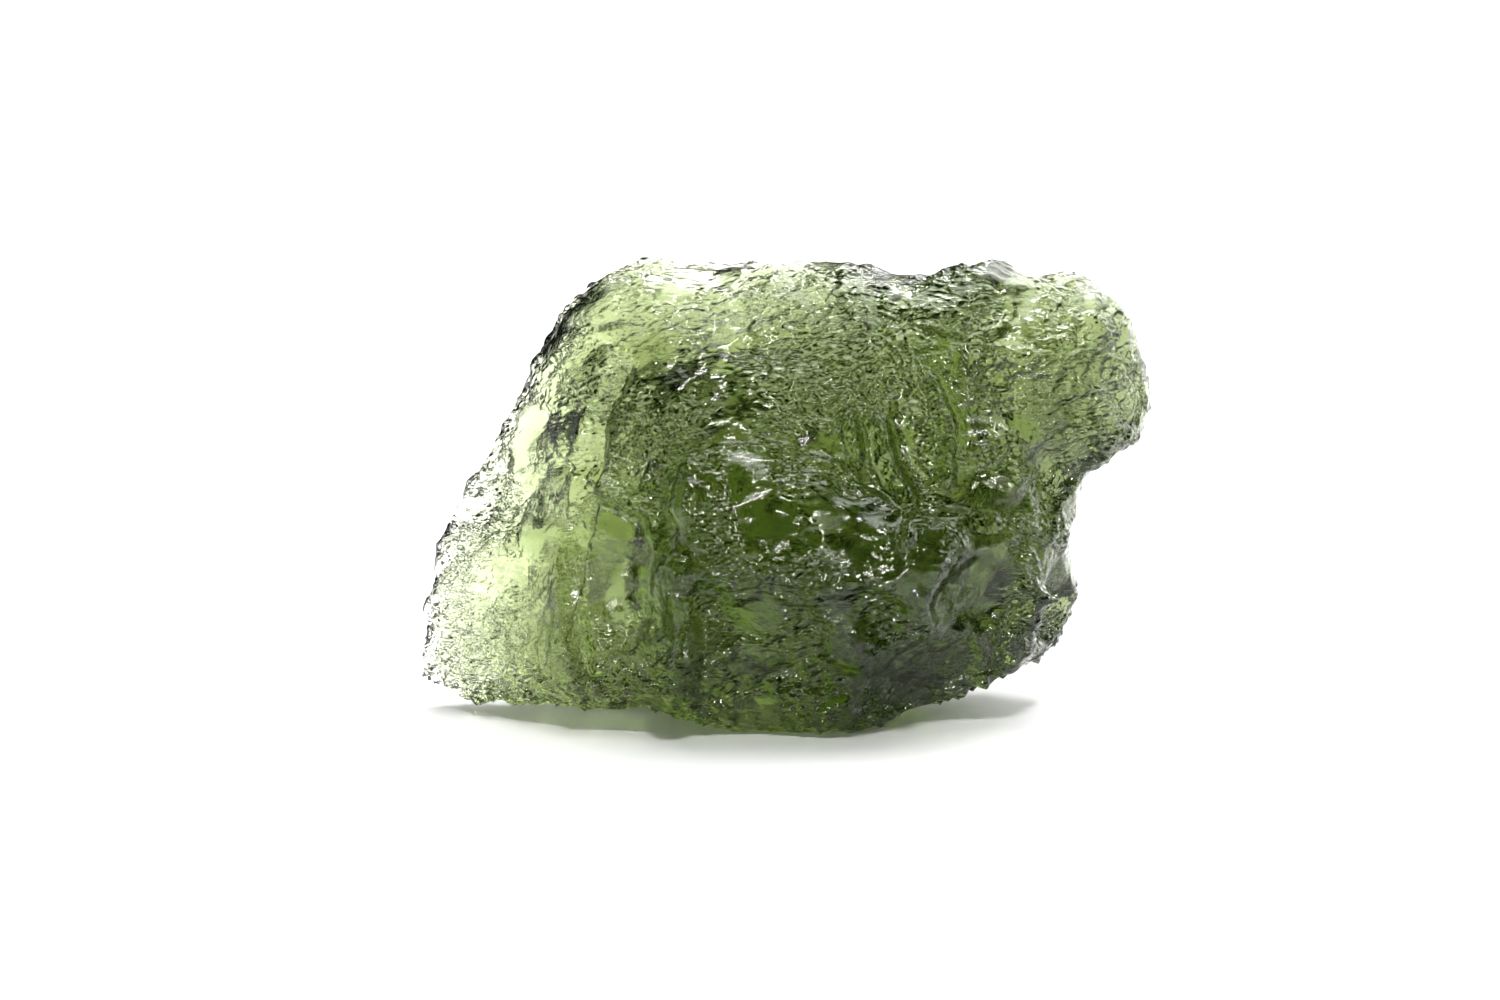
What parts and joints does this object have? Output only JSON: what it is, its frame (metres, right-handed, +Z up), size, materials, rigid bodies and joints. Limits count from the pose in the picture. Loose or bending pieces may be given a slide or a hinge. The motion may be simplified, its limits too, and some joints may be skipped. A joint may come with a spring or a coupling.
{
  "type": "moldavite",
  "caption": "Rough lump of green natural glass with a thin pale end, a chipped hollow at one side and a small flat spot to rest on.",
  "frame": {"origin": "on the surface that the stone rests on, under the middle of its box", "axes": "+X along the stone's length towards the notched end, -Y towards the face that shows best, +Z up"},
  "size_m": [0.026, 0.0132, 0.016],
  "materials": {
    "etched_green_glass": "etched, glossy on the ridges"
  },
  "bodies": {
    "root": {"moldavite": "etched_green_glass"}
  },
  "joints": []
}
